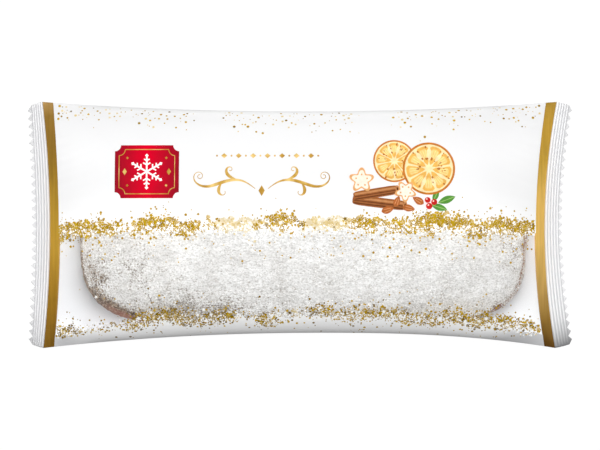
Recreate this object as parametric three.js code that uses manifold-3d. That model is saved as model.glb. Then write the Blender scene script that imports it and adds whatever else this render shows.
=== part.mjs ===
// A stollen sealed in a flow-wrap pack: a tube of printed film, crimped flat at both ends.
// It lies on its back: +X runs along the pack, +Y across it and +Z up, out of its printed front,
// and it rests on its back seal at z = 0. Sizes are in mm.
import * as THREE from "three";
import Module from "manifold-3d";

// Plan of the film tube.
const END_HALF_WIDTH = 74.6; // the tube pressed flat at its end seals
// Each long edge is drawn in at its waist. A curve is the exponent of its line from waist to corner.
const FAR_EDGE = { waist: 68.8, waistX: 2, leftCurve: 2.1, rightCurve: 2.1 }; // on the +Y side
const NEAR_EDGE = { waist: 65.3, waistX: 14, leftCurve: 2.1, rightCurve: 2.5 }; // on the -Y side
const LEFT_END = {
  side: -1,
  corner: 155.8, // distance of the seal's corners from the origin
  lean: 0.3, // how much further out the far corner is, and the near one further in
  bow: 4.35, // how far the middle of the seal is drawn in
  fin: { width: 11.8, flare: -1.35, skew: 0, tooth: 3.1, farCurl: 3.2, nearCurl: 3.2 },
};
const RIGHT_END = {
  side: 1,
  corner: 155,
  lean: 0.5,
  bow: 6.9,
  fin: { width: 11.25, flare: 0.25, skew: -0.75, tooth: 2.4, farCurl: 3.2, nearCurl: 6 },
};

// Heights of the film round the loaf.
const SEAL_HEIGHT = 20; // height of the end seals and of the widest line of the tube
const PACK_HEIGHT = 50;
const TOP_SHOULDER = { length: 95, curve: 3.8 }; // how the film climbs from a seal to its full height
const BASE_SHOULDER_LENGTH = 45; // distance from a seal over which the film falls to the base
const LENS_LENGTH = 50; // distance from a seal over which the section turns from a lens to a tube
const LENS_ROUNDNESS = 3.5; // how full the lens is towards its edges
const TOP_ROUNDNESS = 2.3; // superellipse exponent of the section over the loaf
const BASE_ROUNDNESS = 3.2; // and of the section under it
const BASE_OVERFALL = 2.5; // how far the round underside would pass the base, where it is cut flat

// Crimped fins at the ends.
const FIN_THICKNESS = 0.8;
const RIB_COUNT = 5;
const RIB_DEPTH = 0.5;
const FIN_DROOP = 2.6; // drop of the fin from the seal to its cut edge
const CURL_CURVE = 5; // exponent of the further drop, or curl, towards its corners
const FIN_TAPER = 1.8; // how much shorter each end of the cut edge is than the seal
const TOOTH_COUNT = 29;

// Longitudinal back seal, folded flat under the pack.
const BACK_SEAL_WIDTH = 13;
const BACK_SEAL_THICKNESS = 0.5;
const BACK_SEAL_EMBED = 0.4;

// Fineness of the mesh.
const ROWS = TOOTH_COUNT;
const BODY_STATIONS = 42;
const END_CROWDING = 0.6; // 0 spaces the stations evenly, 1 by a cosine that crowds them at the seals

const lerp = THREE.MathUtils.lerp;
const smooth = (t) => THREE.MathUtils.smoothstep(t, 0, 1);

// Distance of a long edge from the pack's middle line at x.
function edgeReach({ waist, waistX, leftCurve, rightCurve }, x) {
  const [end, curve] = x < waistX ? [-LEFT_END.corner, leftCurve] : [RIGHT_END.corner, rightCurve];
  const t = Math.abs((x - waistX) / (end - waistX));
  return waist + (END_HALF_WIDTH - waist) * t ** curve;
}

// The y of a point at share eta (-1 to 1) of the width at x, where both long edges are drawn in by inset.
function acrossAt(x, eta, inset = 0) {
  const far = edgeReach(FAR_EDGE, x) - inset;
  const near = edgeReach(NEAR_EDGE, x) - inset;
  return (far - near) / 2 + (eta * (far + near)) / 2;
}

// The x of an end's seal line, which bows inwards at its middle.
function sealX({ side, corner, lean, bow }, v) {
  return side * (corner + lean * v - bow * (1 - v * v));
}

// Share of its full height that the upper film has at distance d from a seal.
function rise(d, { length, curve }) {
  return 1 - (1 - Math.min(d / length, 1)) ** curve;
}

// Height of a superellipse of the given exponent at share eta of its half width.
function roundAt(eta, exponent) {
  return (1 - Math.min(Math.abs(eta), 1) ** exponent) ** (1 / exponent);
}

// A point of the tube at share e (0 to 1) of its length and row v (-1 to 1) of its width.
// The section changes from a flat lens at the seals to a round tube about the loaf.
function bodyPoint(e, v) {
  const left = sealX(LEFT_END, v);
  const right = sealX(RIGHT_END, v);
  const x = lerp(left, right, e);
  const d = Math.min(x - left, right - x);
  const tube = smooth(d / LENS_LENGTH);
  const tubeEta = Math.sin((v * Math.PI) / 2);
  const lens = 1 - Math.abs(v) ** LENS_ROUNDNESS;
  const up = lerp(lens, roundAt(tubeEta, TOP_ROUNDNESS), tube) * rise(d, TOP_SHOULDER);
  const down = lerp(lens, roundAt(tubeEta, BASE_ROUNDNESS), tube) * smooth(d / BASE_SHOULDER_LENGTH);
  const skin = FIN_THICKNESS / 2;
  const fall = SEAL_HEIGHT - skin - BACK_SEAL_THICKNESS;
  return {
    x,
    y: acrossAt(x, lerp(v, tubeEta, tube)),
    top: SEAL_HEIGHT + skin + up * (PACK_HEIGHT - SEAL_HEIGHT - skin),
    bottom: Math.max(BACK_SEAL_THICKNESS, SEAL_HEIGHT - skin - down * (fall + BASE_OVERFALL)),
  };
}

// Width of a fin from the seal to the tips of its teeth.
function finWidth({ fin }, v) {
  return fin.width + fin.flare * v * v + fin.skew * v;
}

// A point of a fin at share f of its ribbed width, outwards from the seal. Crests and grooves take turns.
function finPoint(end, f, v, rib = 0) {
  const width = finWidth(end, v) - end.fin.tooth;
  const seal = sealX(end, v);
  const curl = v < 0 ? end.fin.nearCurl : end.fin.farCurl;
  const drop = (FIN_DROOP + curl * Math.abs(v) ** CURL_CURVE) * f * f;
  const middle = SEAL_HEIGHT - drop + rib * RIB_DEPTH;
  return {
    x: seal + end.side * f * width,
    y: acrossAt(seal, v, FIN_TAPER * f),
    top: middle + FIN_THICKNESS / 2,
    bottom: middle - FIN_THICKNESS / 2,
  };
}

// The stations of one fin, from the seal outwards: each is a function of the row v.
function finStations(end) {
  const steps = 2 * RIB_COUNT;
  return Array.from({ length: steps }, (_, i) => (v) => finPoint(end, (i + 1) / steps, v, i % 2 ? 0 : 1));
}

// Stations of the tube from seal to seal, crowded towards the seals.
function bodyStations() {
  return Array.from({ length: BODY_STATIONS + 1 }, (_, i) => {
    const even = i / BODY_STATIONS;
    const e = lerp(even, (1 - Math.cos(Math.PI * even)) / 2, END_CROWDING);
    return (v) => bodyPoint(e, v);
  });
}

// Collects points and faces of one closed surface.
class Surface {
  positions = [];
  faces = [];

  point(x, y, z) {
    this.positions.push(x, y, z);
    return this.positions.length / 3 - 1;
  }

  triangle(a, b, c) {
    this.faces.push(a, b, c);
  }

  quad(a, b, c, d) {
    this.triangle(a, b, c);
    this.triangle(a, c, d);
  }

  geometry() {
    const made = new THREE.BufferGeometry();
    made.setAttribute("position", new THREE.Float32BufferAttribute(this.positions, 3));
    made.setIndex(this.faces);
    return made;
  }
}

// The film tube with both fins: an upper and a lower grid, joined by a thin wall all round.
function filmGeometry(stations) {
  const surface = new Surface();
  const upper = [];
  const lower = [];
  for (const station of stations) {
    const rows = Array.from({ length: ROWS + 1 }, (_, j) => station((2 * j) / ROWS - 1));
    upper.push(rows.map((p) => surface.point(p.x, p.y, p.top)));
    lower.push(rows.map((p) => surface.point(p.x, p.y, p.bottom)));
  }
  for (let i = 0; i + 1 < stations.length; i++) {
    for (let j = 0; j < ROWS; j++) {
      surface.quad(upper[i][j], upper[i + 1][j], upper[i + 1][j + 1], upper[i][j + 1]);
      surface.quad(lower[i][j], lower[i][j + 1], lower[i + 1][j + 1], lower[i + 1][j]);
    }
    surface.quad(lower[i][0], lower[i + 1][0], upper[i + 1][0], upper[i][0]);
    surface.quad(lower[i + 1][ROWS], lower[i][ROWS], upper[i][ROWS], upper[i + 1][ROWS]);
  }
  addTeeth(surface, RIGHT_END, upper.at(-1), lower.at(-1));
  addTeeth(surface, LEFT_END, upper[0].toReversed(), lower[0].toReversed());
  return surface.geometry();
}

// One pointed tooth on each row of a fin's outermost station, whose points run anticlockwise seen from above.
function addTeeth(surface, end, upper, lower) {
  for (let j = 0; j < ROWS; j++) {
    const v = end.side * ((2 * j + 1) / ROWS - 1);
    const width = finWidth(end, v);
    const tip = finPoint(end, width / (width - end.fin.tooth), v);
    const top = surface.point(tip.x, tip.y, tip.top);
    const bottom = surface.point(tip.x, tip.y, tip.bottom);
    surface.triangle(upper[j], top, upper[j + 1]);
    surface.triangle(lower[j], lower[j + 1], bottom);
    surface.quad(lower[j], bottom, top, upper[j]);
    surface.quad(bottom, lower[j + 1], upper[j + 1], top);
  }
}

// The back seal: a flat strip that follows the middle of the underside from one cut edge to the other.
function backSealGeometry(stations) {
  const surface = new Surface();
  const rings = stations.map((station) => {
    const { x, bottom } = station(0);
    const half = BACK_SEAL_WIDTH / 2;
    const low = bottom - BACK_SEAL_THICKNESS;
    const high = bottom + BACK_SEAL_EMBED;
    return [
      surface.point(x, -half, low),
      surface.point(x, half, low),
      surface.point(x, half, high),
      surface.point(x, -half, high),
    ];
  });
  for (let i = 0; i + 1 < rings.length; i++) {
    for (let k = 0; k < 4; k++) {
      const next = (k + 1) % 4;
      surface.quad(rings[i][k], rings[i][next], rings[i + 1][next], rings[i + 1][k]);
    }
  }
  const [first, last] = [rings[0], rings.at(-1)];
  surface.quad(first[3], first[2], first[1], first[0]);
  surface.quad(last[0], last[1], last[2], last[3]);
  return surface.geometry();
}

// Joins closed geometries into one.
async function joined(geometries) {
  const wasm = await Module();
  wasm.setup();
  const solids = geometries.map((geometry) => {
    const vertProperties = new Float32Array(geometry.getAttribute("position").array);
    const triVerts = new Uint32Array(geometry.getIndex().array);
    return new wasm.Manifold(new wasm.Mesh({ numProp: 3, vertProperties, triVerts }));
  });
  const mesh = solids.reduce((whole, solid) => whole.add(solid)).getMesh();
  const made = new THREE.BufferGeometry();
  made.setAttribute("position", new THREE.BufferAttribute(mesh.vertProperties, 3));
  made.setIndex(new THREE.BufferAttribute(mesh.triVerts, 1));
  return made;
}

const stations = [...finStations(LEFT_END).reverse(), ...bodyStations(), ...finStations(RIGHT_END)];
const geometry = await joined([filmGeometry(stations), backSealGeometry(stations)]);
geometry.computeVertexNormals();
geometry.computeBoundingBox();
const box = geometry.boundingBox;
geometry.translate(-(box.min.x + box.max.x) / 2, -(box.min.y + box.max.y) / 2, -box.min.z);

const film = new THREE.MeshStandardMaterial({ color: 0xf6f6f4, roughness: 0.35, metalness: 0 });
const pack = new THREE.Mesh(geometry, film);
pack.name = "stollen_pack";

const part = new THREE.Group();
part.add(pack);

export default part;
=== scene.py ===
"""Looks of a stollen sealed in a flow-wrap pack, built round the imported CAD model.

Shapes are worked out in millimetres, in the frame of the film tube: +X along the pack, +Y across it, +Z up.
"""
import itertools
import math
from collections import defaultdict
from types import SimpleNamespace as Spec

import bpy
import numpy as np
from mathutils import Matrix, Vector


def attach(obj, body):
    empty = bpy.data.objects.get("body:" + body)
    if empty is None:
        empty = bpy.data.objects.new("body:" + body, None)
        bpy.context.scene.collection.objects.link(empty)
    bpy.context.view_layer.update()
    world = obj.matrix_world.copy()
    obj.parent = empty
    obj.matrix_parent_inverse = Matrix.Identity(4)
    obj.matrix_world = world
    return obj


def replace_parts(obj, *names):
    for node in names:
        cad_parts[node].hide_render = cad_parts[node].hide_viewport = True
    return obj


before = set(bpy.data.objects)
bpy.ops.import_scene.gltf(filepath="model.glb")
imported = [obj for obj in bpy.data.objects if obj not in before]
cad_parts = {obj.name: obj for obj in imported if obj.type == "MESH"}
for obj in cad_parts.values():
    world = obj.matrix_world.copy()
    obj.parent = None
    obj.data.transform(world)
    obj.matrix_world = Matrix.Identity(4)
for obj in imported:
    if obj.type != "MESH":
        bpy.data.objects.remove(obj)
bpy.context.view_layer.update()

MM = 0.001
NODE = "stollen_pack"
BODY = "root"

# ---------------------------------------------------------------- the film tube, as the CAD solid has it

END_HALF_WIDTH = 74.6
FAR_EDGE = Spec(waist=68.8, waist_x=2.0, left_curve=2.1, right_curve=2.1)
NEAR_EDGE = Spec(waist=65.3, waist_x=14.0, left_curve=2.1, right_curve=2.5)
LEFT_END = Spec(
    side=-1, corner=155.8, lean=0.3, bow=4.35,
    fin=Spec(width=11.8, flare=-1.35, skew=0.0, tooth=3.1, far_curl=3.2, near_curl=3.2),
    shade=0.3,  # how much painted shade greys its near corner
)
RIGHT_END = Spec(
    side=1, corner=155.0, lean=0.5, bow=6.9,
    fin=Spec(width=11.25, flare=0.25, skew=-0.75, tooth=2.4, far_curl=3.2, near_curl=6.0),
    shade=1.0,
)
ENDS = {"left": LEFT_END, "right": RIGHT_END}

SEAL_HEIGHT = 20.0
PACK_HEIGHT = 50.0
TOP_SHOULDER = Spec(length=95.0, curve=3.8)
BASE_SHOULDER_LENGTH = 45.0
LENS_LENGTH = 50.0
LENS_ROUNDNESS = 3.5
TOP_ROUNDNESS = 2.3
BASE_ROUNDNESS = 3.2
BASE_OVERFALL = 2.5

FIN_DROOP = 2.6
CURL_CURVE = 5
FIN_TAPER = 1.8
RIB_COUNT = 5
TOOTH_COUNT = 29
TIP_V = 1 - 1 / TOOTH_COUNT  # the row of an end's last tooth tip

BACK_SEAL_WIDTH = 13.0
BACK_SEAL_THICKNESS = 0.5

# What the thin film has and the solid leaves out.
FILM_SKIN = 0.12  # half the thickness of the two layers of film at a seal
RIB_DEPTH = 0.6
PUCKER = Spec(depth=0.28, onset=2.0, length=16.0)  # folds at a seal: how soon they rise, how far they run

ROW_HALVINGS = 26  # steps of the search for a row
SLOPE_STEP = 0.4  # over which the film's slope is taken


def mix(a, b, t):
    return a + (b - a) * t


def smooth(t):
    """An S-shaped rise from 0 to 1 as t goes from 0 to 1."""
    t = np.clip(t, 0.0, 1.0)
    return t * t * (3 - 2 * t)


def eased(value, start, length):
    """0 up to start, then a smooth rise to 1 over a length."""
    return smooth((value - start) / length)


def edge_reach(edge, x):
    """Distance of a long edge from the middle line at x."""
    left = x < edge.waist_x
    end = np.where(left, -LEFT_END.corner, RIGHT_END.corner)
    curve = np.where(left, edge.left_curve, edge.right_curve)
    t = np.abs((x - edge.waist_x) / (end - edge.waist_x))
    return edge.waist + (END_HALF_WIDTH - edge.waist) * t**curve


def across_at(x, eta, inset=0.0):
    """The y at share eta, -1 to 1, of the width at x."""
    far = edge_reach(FAR_EDGE, x) - inset
    near = edge_reach(NEAR_EDGE, x) - inset
    return (far - near) / 2 + eta * (far + near) / 2


def seal_x(end, v):
    return end.side * (end.corner + end.lean * v - end.bow * (1 - v * v))


def rise(d):
    """Share of its full height that the upper film has at distance d from a seal."""
    return 1 - (1 - np.clip(d / TOP_SHOULDER.length, 0, 1)) ** TOP_SHOULDER.curve


def seal_distance(x, v):
    return np.minimum(x - seal_x(LEFT_END, v), seal_x(RIGHT_END, v) - x)


def tube_y(x, v):
    tube = smooth(seal_distance(x, v) / LENS_LENGTH)
    return across_at(x, mix(v, np.sin(v * math.pi / 2), tube))


def section(x, v, roundness):
    """Height of the section at row v, from 0 to 1: a flat lens at the seals, a round tube about the loaf."""
    tube = (1 - np.abs(np.sin(v * math.pi / 2)) ** roundness) ** (1 / roundness)
    return mix(1 - np.abs(v) ** LENS_ROUNDNESS, tube, smooth(seal_distance(x, v) / LENS_LENGTH))


def pucker(x, v):
    """Small folds that run from the seals into the tube and fade out."""
    d = seal_distance(x, v)
    fade = np.exp(-d / PUCKER.length) - np.exp(-d / PUCKER.onset)
    folds = np.sin(31 * v + 0.8) + 0.7 * np.sin(53 * v + np.sin(7 * v)) + 0.5 * np.sin(87 * v + 2)
    return PUCKER.depth * fade * folds * (1 - v**8) / 2


def tube_top(x, v):
    up = section(x, v, TOP_ROUNDNESS) * rise(seal_distance(x, v))
    return SEAL_HEIGHT + FILM_SKIN + up * (PACK_HEIGHT - SEAL_HEIGHT - FILM_SKIN) + pucker(x, v)


def tube_bottom(x, v):
    down = section(x, v, BASE_ROUNDNESS) * smooth(seal_distance(x, v) / BASE_SHOULDER_LENGTH)
    fall = SEAL_HEIGHT - FILM_SKIN - BACK_SEAL_THICKNESS + BASE_OVERFALL
    return np.maximum(BACK_SEAL_THICKNESS, SEAL_HEIGHT - FILM_SKIN - down * fall)


def row_at(x, y):
    """The row v of the tube that passes over the point x, y."""
    low, high = np.full(np.shape(x), -1.0), np.full(np.shape(x), 1.0)
    for _ in range(ROW_HALVINGS):
        v = (low + high) / 2
        short = tube_y(x, v) < y
        low, high = np.where(short, v, low), np.where(short, high, v)
    return (low + high) / 2


def film_height(x, y):
    """Height of the tube's upper film over the point x, y."""
    return tube_top(x, row_at(x, y))


def film_slopes(x, y):
    """How steeply the upper film climbs along x and along y."""
    step = SLOPE_STEP
    along_x = (film_height(x + step, y) - film_height(x - step, y)) / (2 * step)
    along_y = (film_height(x, y + step) - film_height(x, y - step)) / (2 * step)
    return along_x, along_y


def on_film(x, y, lift):
    """Points of the upper film at the plan points x, y, raised by lift along its normal."""
    z = film_height(x, y)
    slope_x, slope_y = film_slopes(x, y)
    length = np.sqrt(1 + slope_x**2 + slope_y**2)
    return np.stack([x - slope_x / length * lift, y - slope_y / length * lift, z + lift / length], axis=-1)


def fin_width(end, v):
    fin = end.fin
    return fin.width + fin.flare * v * v + fin.skew * v


def tip_x(end):
    """The furthest tooth tip of an end."""
    return end.side * max(abs(seal_x(end, v)) + fin_width(end, v) for v in (-TIP_V, TIP_V))


# From the tube's frame to the CAD frame, whose origin is the middle of the solid's box.
SHIFT = np.array([-(tip_x(LEFT_END) + tip_x(RIGHT_END)) / 2, 0.0, 0.0])

# ---------------------------------------------------------------- mesh helpers


def add_object(name, data):
    thing = bpy.data.objects.new(name, data)
    bpy.context.scene.collection.objects.link(thing)
    return thing


def add_mesh(name, points, faces, material, smooth_shaded=True):
    """A piece from points in mm and faces, riding on the pack."""
    mesh = bpy.data.meshes.new(name)
    mesh.from_pydata(((np.asarray(points) + SHIFT) * MM).tolist(), [], faces)
    mesh.materials.append(material)
    mesh.polygons.foreach_set("use_smooth", [smooth_shaded] * len(mesh.polygons))
    mesh.update()
    piece = add_object(name, mesh)
    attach(piece, BODY)
    return piece


def add_print(name, points, faces, material, smooth_shaded=True):
    """Ink on the film. The film lies on the loaf, so the ink throws no shadow on it."""
    add_mesh(name, points, faces, material, smooth_shaded).visible_shadow = False


def add_layer(piece, name, values):
    """A value for each point of a piece, which its material can read."""
    layer = piece.data.attributes.new(name, "FLOAT", "POINT")
    layer.data.foreach_set("value", np.ravel(values).astype(np.float32))


def renumbered(faces, first):
    """The same faces, their points counted from first."""
    return [tuple(first + i for i in face) for face in faces]


def grid_faces(rows, columns, flip=False):
    """Quads of a rows by columns grid of points, counted row by row."""
    corner = np.arange(rows * columns).reshape(rows, columns)[:-1, :-1].reshape(-1, 1)
    quads = corner + np.array([0, columns, columns + 1, 1])
    return (quads[:, ::-1] if flip else quads).tolist()


def rim_faces(rows, columns, flip):
    """Quads that join the rims of two rows by columns grids, one counted after the other."""
    grid = np.arange(rows * columns).reshape(rows, columns)
    rim = np.concatenate([grid[0], grid[1:, -1], grid[-1, -2::-1], grid[-2:0:-1, 0]])
    ahead = np.roll(rim, -1)
    quads = np.stack([rim, ahead, ahead + grid.size, rim + grid.size], axis=1)
    return (quads[:, ::-1] if flip else quads).tolist()


def add_sheet(name, x, y, z, material, flip=False):
    """A piece of film from a grid of points given as three arrays of one shape."""
    points = np.stack([x, y, z], axis=-1)
    return add_mesh(name, points.reshape(-1, 3), grid_faces(*x.shape, flip), material)


class Lattice:
    """Smooth seeded noise in space, from -1 to 1."""

    def __init__(self, seed, cells=64):
        self.values = np.random.default_rng(seed).uniform(-1, 1, (cells, cells, cells))
        self.cells = cells

    def __call__(self, points, size):
        """The noise at points, its features about size mm across."""
        p = points / size
        whole = np.floor(p).astype(int)
        t = smooth(p - whole)
        total = np.zeros(len(points))
        for corner in range(8):
            step = np.array([corner & 1, corner >> 1 & 1, corner >> 2 & 1])
            at = (whole + step) % self.cells
            weight = np.prod(np.where(step, t, 1 - t), axis=1)
            total += weight * self.values[at[:, 0], at[:, 1], at[:, 2]]
        return total

    def fractal(self, points, size, octaves):
        return sum(self(points + 37.0 * k, size / 2**k) / 2**k for k in range(octaves))


# ---------------------------------------------------------------- materials

GOLD_LEFT = (  # position across the pack, red, green, blue: a printed gradient with painted shade, darker towards the edges and darkest at the near edge
    (0.0, 128, 94, 32), (0.11, 136, 99, 26), (0.24, 169, 127, 36), (0.4, 198, 155, 54), (0.55, 196, 154, 52),
    (0.72, 163, 126, 40), (0.86, 142, 108, 42), (0.94, 142, 109, 46), (1.0, 168, 134, 80),
)
GOLD_RIGHT = (
    (0.0, 92, 62, 22), (0.11, 137, 104, 44), (0.24, 195, 157, 86), (0.42, 236, 194, 104),
    (0.6, 238, 194, 100), (0.76, 205, 165, 64), (0.89, 190, 150, 57), (1.0, 158, 125, 50),
)
# Greys towards which painted shade turns the white film and the fins.
PAINTED_FILM_SHADE = (176, 176, 178)
PAINTED_FIN_SHADE = (120, 120, 122)


def srgb(red, green, blue):
    """A linear colour from one given as 8-bit screen values."""
    def linear(c):
        c /= 255
        return c / 12.92 if c <= 0.04045 else ((c + 0.055) / 1.055) ** 2.4

    return (linear(red), linear(green), linear(blue), 1.0)


def stops(*rows):
    """Stops of a colour ramp, from rows of position, red, green, blue."""
    return [(position, srgb(*colour)) for position, *colour in rows]


def shaded(colour, factor):
    return (*(min(1.0, c * factor) for c in colour[:3]), 1.0)


class Nodes:
    """A new material with its Principled shader, and short ways to add nodes to it."""

    def __init__(self, name, colour, roughness, metallic=0.0, specular=0.5):
        self.material = bpy.data.materials.new(name)
        self.material.use_nodes = True
        self.tree = self.material.node_tree
        self.shader = self.tree.nodes["Principled BSDF"]
        self.drive("Base Color", colour)
        self.drive("Roughness", roughness)
        self.drive("Metallic", metallic)
        self.drive("Specular IOR Level", specular)

    def put(self, node, socket, value):
        """Links a socket into an input of a node, or sets the input to a value."""
        if isinstance(value, bpy.types.NodeSocket):
            self.tree.links.new(value, node.inputs[socket])
        else:
            node.inputs[socket].default_value = value

    def drive(self, name, value):
        """Sets an input of the shader to a value or links a socket into it."""
        self.put(self.shader, name, value)

    def add(self, kind, inputs, **settings):
        node = self.tree.nodes.new(kind)
        for key, value in settings.items():
            setattr(node, key, value)
        for socket, value in inputs.items():
            self.put(node, socket, value)
        return node

    def place(self, stretch=(1.0, 1.0, 1.0)):
        """Object coordinates in mm, times stretch."""
        where = self.add("ShaderNodeTexCoord", {}).outputs["Object"]
        factors = tuple(s / MM for s in stretch)
        return self.add("ShaderNodeVectorMath", {0: where, 1: factors}, operation="MULTIPLY").outputs[0]

    def attribute(self, name):
        return self.add("ShaderNodeAttribute", {}, attribute_name=name).outputs["Fac"]

    def axis(self, name):
        return self.add("ShaderNodeSeparateXYZ", {"Vector": self.place()}).outputs[name]

    def noise(self, size, detail=3.0, rough=0.55, stretch=(1.0, 1.0, 1.0)):
        """Noise whose features are about size mm across."""
        inputs = {"Vector": self.place(stretch), "Scale": 1 / size, "Detail": detail, "Roughness": rough}
        return self.add("ShaderNodeTexNoise", inputs).outputs["Fac"]

    def ramp(self, fac, marks):
        """A colour ramp with marks of (position, colour)."""
        node = self.add("ShaderNodeValToRGB", {"Fac": fac})
        elements = node.color_ramp.elements
        while len(elements) < len(marks):
            elements.new(0.5)
        for element, (position, colour) in zip(elements, marks):
            element.position = position
            element.color = colour
        return node.outputs["Color"]

    def span(self, value, low, high, to_low=0.0, to_high=1.0):
        inputs = {"Value": value, "From Min": low, "From Max": high, "To Min": to_low, "To Max": to_high}
        return self.add("ShaderNodeMapRange", inputs).outputs["Result"]

    def sum(self, *values):
        total = values[0]
        for value in values[1:]:
            total = self.add("ShaderNodeMath", {0: total, 1: value}, operation="ADD").outputs[0]
        return total

    def blend(self, fac, a, b, mode="MIX"):
        inputs = {0: fac, 6: a, 7: b}
        return self.add("ShaderNodeMix", inputs, data_type="RGBA", blend_type=mode).outputs[2]

    def bump(self, height, distance, strength=1.0):
        inputs = {"Height": height, "Distance": distance * MM, "Strength": strength}
        self.drive("Normal", self.add("ShaderNodeBump", inputs).outputs["Normal"])

    def mottle_roughness(self, size, low, high):
        """Roughness that drifts from low to high over features of size mm."""
        self.drive("Roughness", self.span(self.noise(size), 0.3, 0.7, low, high))

    def roughen(self, strength):
        """The faint tooth of printed film."""
        self.bump(self.noise(0.8), 0.05, strength)


def white_film(name, *colour):
    """White printed film, satin, with a faint slackness. Painted shade greys it as the mesh's shade attribute
    says.
    """
    m = Nodes(name, srgb(*colour), 0.5, specular=0.3)
    m.drive("Base Color", m.blend(m.attribute("shade"), srgb(*colour), srgb(*PAINTED_FILM_SHADE)))
    m.bump(m.noise(24.0, detail=2.0, stretch=(0.6, 1.0, 1.0)), 0.5, 0.3)
    m.mottle_roughness(9.0, 0.44, 0.56)
    return m.material


def crimped_film(name, groove, crest):
    """White film with painted shade in the grooves between its ribs, as the mesh's rib attribute says, and
    painted shade at a corner, as its shade attribute says.
    """
    m = Nodes(name, srgb(*crest), 0.5, specular=0.25)
    ribbed = m.blend(m.attribute("rib"), srgb(*groove), srgb(*crest))
    m.drive("Base Color", m.blend(m.attribute("shade"), ribbed, srgb(*PAINTED_FIN_SHADE)))
    m.mottle_roughness(9.0, 0.44, 0.56)
    return m.material


def clear_film():
    """The clear window: thin, nearly invisible film."""
    m = Nodes("clear_film", (1.0, 1.0, 1.0, 1.0), 0.2)
    m.drive("Alpha", 0.06)
    return m.material


def gold_band_print(name, tones):
    """Metallic gold ink, its tone changing along y, partly as a printed gradient and partly as painted shade
    towards the edges, drawn out in fine streaks.
    """
    m = Nodes(name, srgb(190, 150, 60), 0.45, metallic=0.25, specular=0.05)
    tone = m.ramp(m.span(m.axis("Y"), -END_HALF_WIDTH, END_HALF_WIDTH), stops(*tones))
    streaks = m.noise(1.3, detail=2.0, stretch=(1.0, 0.05, 0.3))
    shade = m.ramp(streaks, [(0.3, (0.8, 0.79, 0.77, 1.0)), (0.7, (1.0, 1.0, 1.0, 1.0))])
    m.drive("Base Color", m.blend(1.0, tone, shade, "MULTIPLY"))
    m.bump(streaks, 0.15, 0.5)
    return m.material


def ink(name, *colour, size=3.0, contrast=0.12):
    """Print on film: a field of colour, mottled over features of size mm, on a faintly rough film."""
    colour = srgb(*colour)
    m = Nodes(name, colour, 0.5, specular=0.02)
    tones = [(0.3, shaded(colour, 1 - contrast)), (0.7, shaded(colour, 1 + contrast))]
    m.drive("Base Color", m.ramp(m.noise(size), tones))
    m.mottle_roughness(size * 0.7, 0.38, 0.52)
    m.roughen(0.3)
    return m.material


def foil_ink(name, dark, middle, light, size=2.6):
    """Gold print whose tone drifts between three golds."""
    m = Nodes(name, srgb(*middle), 0.5, metallic=0.1, specular=0.02)
    tones = stops((0.34, *dark), (0.5, *middle), (0.66, *light))
    m.drive("Base Color", m.ramp(m.noise(size, detail=2.0), tones))
    m.roughen(0.4)
    return m.material


def crust_and_sugar():
    """Baked crust under icing sugar, which lies as thickly as the mesh's sugar attribute says.

    Its brown is full where the bake attribute is 1, and redder by the rust attribute.
    """
    m = Nodes("sugared_crust", srgb(235, 233, 228), 0.85, specular=0.2)
    grain = m.noise(0.85, rough=0.6, stretch=(0.7, 1.0, 1.0))
    patch = m.noise(5.0, rough=0.6)
    uneven = (m.span(grain, 0.25, 0.75, -0.75, 0.75), m.span(patch, 0.25, 0.75, -0.3, 0.3))
    depth = m.sum(m.attribute("sugar"), *uneven)
    browns = stops((0.36, 38, 29, 22), (0.45, 88, 70, 54), (0.53, 140, 116, 92), (0.64, 208, 194, 176))
    crust = m.ramp(m.noise(1.7, detail=4.0, rough=0.75), browns)
    crust = m.blend(m.attribute("bake"), srgb(132, 126, 119), crust)
    crust = m.blend(m.attribute("rust"), crust, srgb(164, 104, 82))
    thin = m.blend(m.span(depth, 0.1, 0.38), crust, srgb(176, 169, 160))
    powder = stops((0.34, 196, 194, 191), (0.46, 228, 227, 225), (0.58, 249, 249, 248))
    sugar = m.ramp(m.noise(0.9, rough=0.7, stretch=(0.6, 1.0, 1.0)), powder)
    drifts = m.ramp(m.noise(15.0), stops((0.36, 240, 239, 238), (0.58, 255, 255, 255)))
    sugar = m.blend(1.0, sugar, drifts, "MULTIPLY")
    m.drive("Base Color", m.blend(m.span(depth, 0.34, 0.64), thin, sugar))
    m.bump(grain, 0.5, 0.9)
    return m.material


def sugar_clump():
    m = Nodes("sugar_clump", srgb(248, 247, 245), 0.8, specular=0.25)
    m.drive("Base Color", m.ramp(m.noise(0.9), stops((0.3, 232, 230, 226), (0.6, 252, 251, 250))))
    m.bump(m.noise(0.25, detail=2.0), 0.08, 0.8)
    return m.material


def plaque_red(left, right):
    """Red that is brightest half way between left and right."""
    m = Nodes("print_red", srgb(200, 5, 40), 0.45, specular=0.02)
    mottled = m.sum(m.span(m.axis("X"), left, right), m.span(m.noise(6.0), 0.3, 0.7, -0.04, 0.04))
    m.drive("Base Color", m.ramp(mottled, stops((0.0, 142, 16, 34), (0.5, 214, 0, 38), (1.0, 142, 16, 34))))
    m.roughen(0.3)
    return m.material


# ---------------------------------------------------------------- the film

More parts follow.
